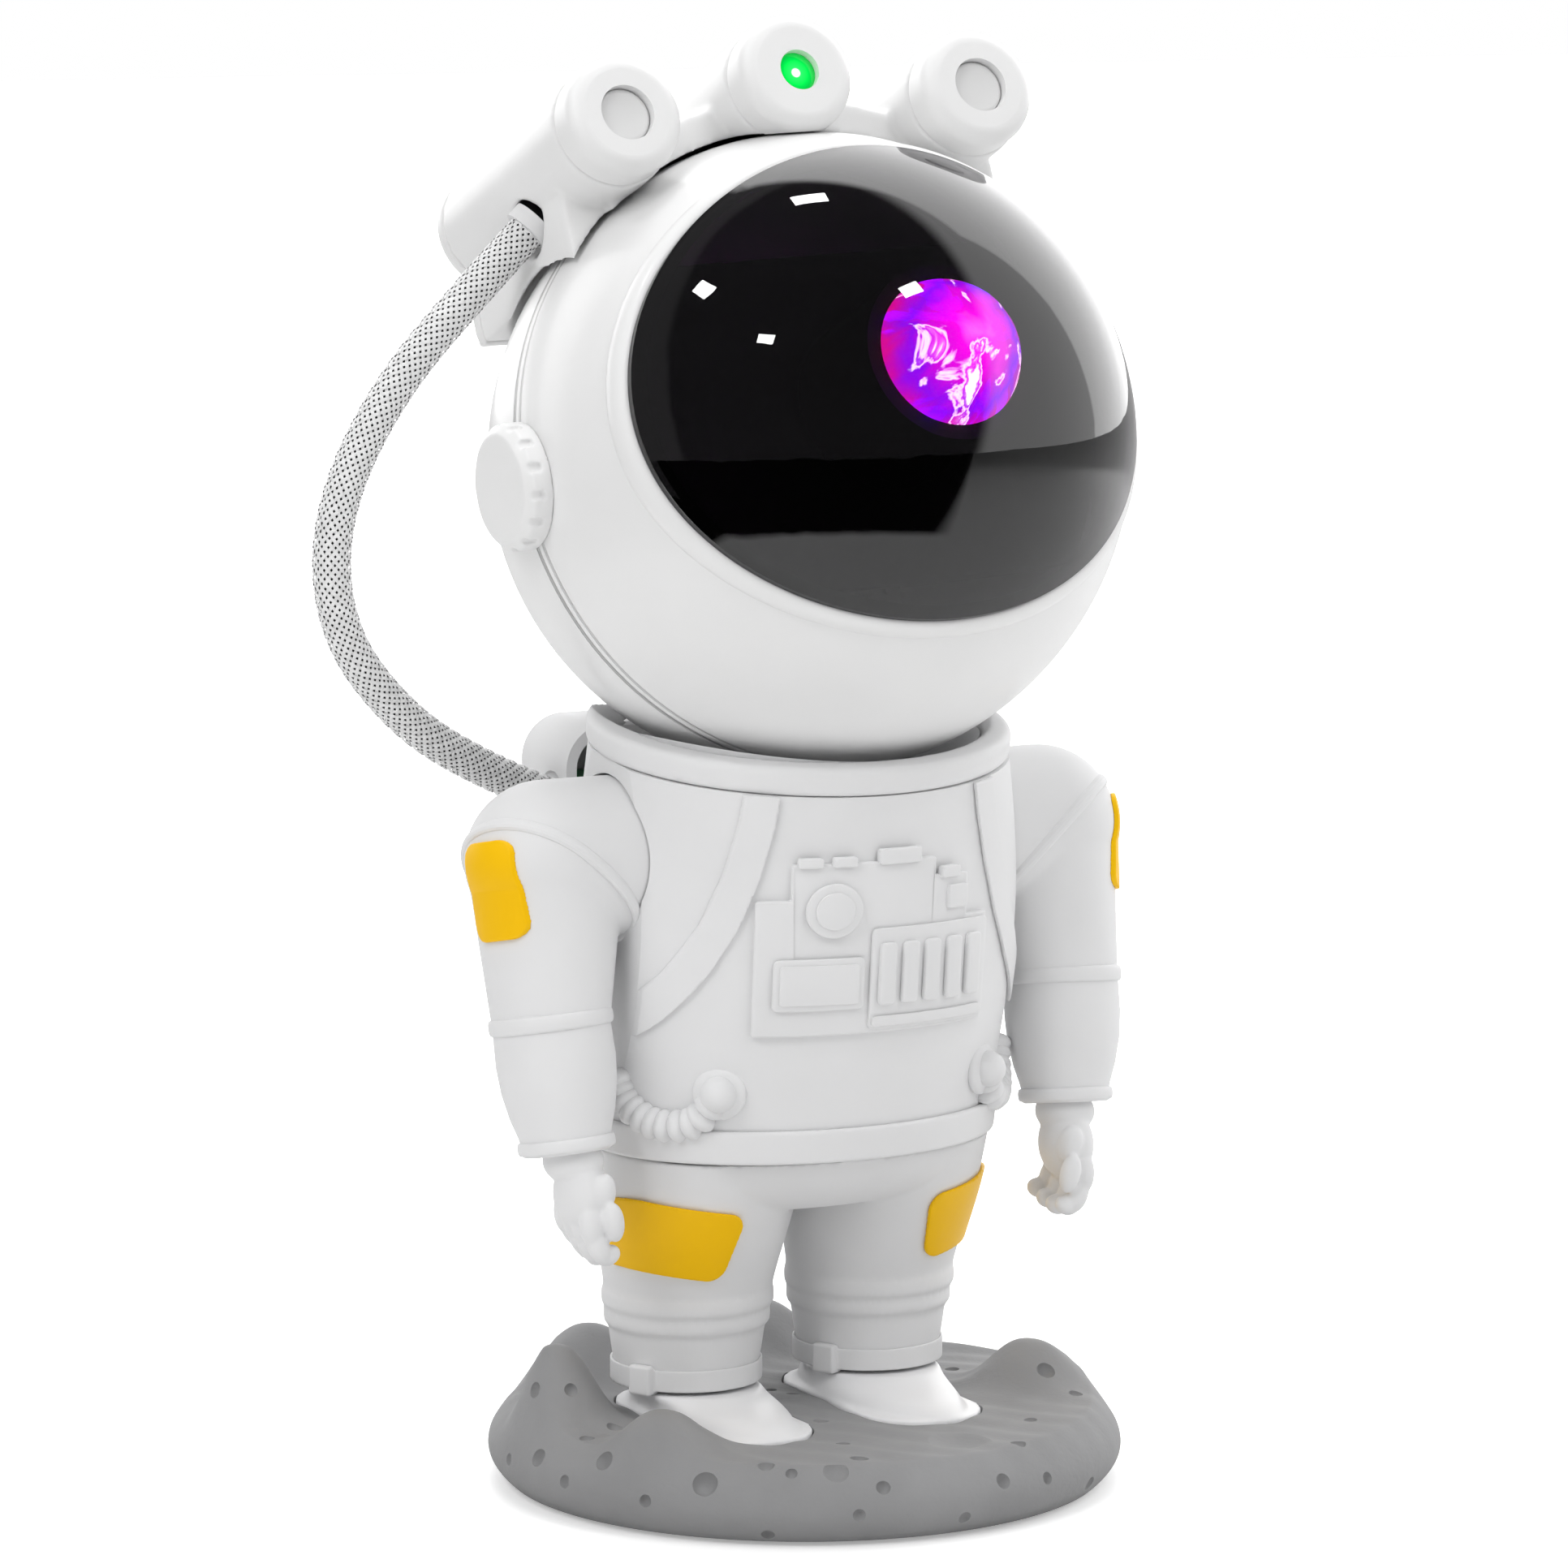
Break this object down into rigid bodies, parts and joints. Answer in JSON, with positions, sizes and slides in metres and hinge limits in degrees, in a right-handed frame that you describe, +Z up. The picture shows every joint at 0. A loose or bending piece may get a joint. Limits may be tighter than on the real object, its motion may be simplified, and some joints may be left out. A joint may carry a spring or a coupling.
{
  "type": "planetarium projector",
  "caption": "Desk star and nebula projector shaped as a standing astronaut: domed visor head on a magnet, lamp bar, braided hose, swinging arms, moon base.",
  "frame": {"origin": "on the flat bottom of the base, under the middle of the figure", "axes": "+Z up, the figure faces -Y, its left arm is at +X"},
  "size_m": [0.1279, 0.1071, 0.2263],
  "materials": {
    "moon_grey": "matte moulded plastic with fine grain",
    "dark_plastic": "matte black moulding",
    "rubber": "soft rubber",
    "steel": "zinc plated",
    "magnet": "nickel plated magnet",
    "heat_sink_metal": "anodised",
    "boot_white": "satin",
    "yellow_patch": "painted insert",
    "matte_white": "fine matte",
    "gloss_white": "semi gloss",
    "visor_black": "smoked glossy dome",
    "bezel_black": "gloss",
    "green_glass": "green window",
    "lens_glass": "clear acrylic",
    "laser_brass": "machined",
    "motor_steel": "drawn can",
    "gear_nylon": "natural nylon",
    "board_green": "solder mask",
    "braid_white": "braided sleeve"
  },
  "bodies": {
    "base": {"base_shell": "moon_grey", "base_plate": "dark_plastic", "base_screws": "steel", "foot_pad": "rubber"},
    "head_swivel": {"magnet_holder": "dark_plastic", "neck_magnet": "magnet"},
    "head": {"ball_lens": "lens_glass", "crown_grommet": "rubber", "crown_housing": "gloss_white", "crown_rear_cover": "gloss_white", "ear_discs": "gloss_white", "grating_motor": "motor_steel", "heat_sink": "heat_sink_metal", "helmet_back": "gloss_white", "helmet_front": "gloss_white", "hose_sleeve": "braid_white", "keeper_plate": "steel", "lamp_board": "board_green", "lamp_buttons": "gloss_white", "lamp_caps": "gloss_white", "laser_holder": "dark_plastic", "laser_module": "laser_brass", "laser_window": "green_glass", "motor_plate": "steel", "optics_frame": "dark_plastic", "visor": "visor_black", "visor_ring": "bezel_black", "wheel_motor": "motor_steel"},
    "right_arm": {"upper_arm_right": "matte_white", "forearm_right": "matte_white", "arm_patch_right": "yellow_patch"},
    "left_arm": {"upper_arm_left": "matte_white", "forearm_left": "matte_white", "arm_patch_left": "yellow_patch"},
    "power_key": {"power_button": "matte_white"},
    "mode_key": {"mode_button": "matte_white"},
    "nebula_wheel": {"nebula_wheel": "gear_nylon"},
    "motor_pinion": {"motor_pinion": "gear_nylon"},
    "grating_wheel": {"grating_wheel": "gear_nylon"},
    "grating_pinion": {"grating_pinion": "gear_nylon"},
    "figure": {"ankle_straps": "matte_white", "backpack_cover": "matte_white", "backpack_shell": "matte_white", "boot_left": "boot_white", "boot_right": "boot_white", "chest_panel": "matte_white", "circuit_board": "board_green", "collar_ring": "matte_white", "harness_straps": "matte_white", "hem_band": "matte_white", "neck_dish": "dark_plastic", "pack_grommet": "rubber", "shoulder_pin_left": "motor_steel", "shoulder_pin_right": "motor_steel", "thigh_patches": "yellow_patch", "torso_back": "matte_white", "torso_front": "matte_white", "trousers": "matte_white", "usb_socket": "motor_steel", "waist_hoses": "matte_white"}
  },
  "joints": [
    {"name": "lift_off", "type": "slide", "parent": "base", "child": "figure", "axis": [0, 0, 1], "range_m": [0, 0.03]},
    {"name": "head_turn", "type": "hinge", "parent": "figure", "child": "head_swivel", "pos_m": [0.0014, -0.0048, 0.1598], "axis": [0, 0, 1], "range_deg": [-25, 25], "deforming": ["hose_sleeve"]},
    {"name": "head_tilt", "type": "hinge", "parent": "head_swivel", "child": "head", "pos_m": [0.0014, -0.0048, 0.1598], "axis": [0.9987, 0.0049, 0.0514], "range_deg": [-12, 20], "deforming": ["hose_sleeve"]},
    {"name": "right_arm_swing", "type": "hinge", "parent": "figure", "child": "right_arm", "pos_m": [-0.0428, -0.004, 0.1004], "axis": [-1, 0, 0], "range_deg": [-35, 95]},
    {"name": "left_arm_swing", "type": "hinge", "parent": "figure", "child": "left_arm", "pos_m": [0.0428, -0.004, 0.1004], "axis": [-1, 0, 0], "range_deg": [-35, 95]},
    {"name": "power_press", "type": "slide", "parent": "figure", "child": "power_key", "axis": [0, -1, 0], "range_m": [0, 0.0008], "stiffness_N_per_m": 400, "springref_m": -0.0002},
    {"name": "mode_press", "type": "slide", "parent": "figure", "child": "mode_key", "axis": [0, -1, 0], "range_m": [0, 0.0008], "stiffness_N_per_m": 400, "springref_m": -0.0002},
    {"name": "nebula_spin", "type": "hinge", "parent": "head", "child": "nebula_wheel", "pos_m": [0.00159, -0.02008, 0.1576], "axis": [-0.0156, -0.9204, 0.3907], "continuous": true},
    {"name": "pinion_spin", "type": "hinge", "parent": "head", "child": "motor_pinion", "pos_m": [0.00247, -0.02712, 0.14106], "axis": [-0.0156, -0.9204, 0.3907], "continuous": true},
    {"name": "grating_spin", "type": "hinge", "parent": "head", "child": "grating_wheel", "pos_m": [-0.00141, 0.00351, 0.21356], "axis": [-0.0156, -0.9204, 0.3907], "continuous": true},
    {"name": "grating_pinion_spin", "type": "hinge", "parent": "head", "child": "grating_pinion", "pos_m": [-0.00166, 0.00555, 0.21834], "axis": [-0.0156, -0.9204, 0.3907], "continuous": true}
  ],
  "couplings": [
    {"joint": "pinion_spin", "follows": "nebula_spin", "ratio": -5},
    {"joint": "grating_pinion_spin", "follows": "grating_spin", "ratio": -3}
  ]
}
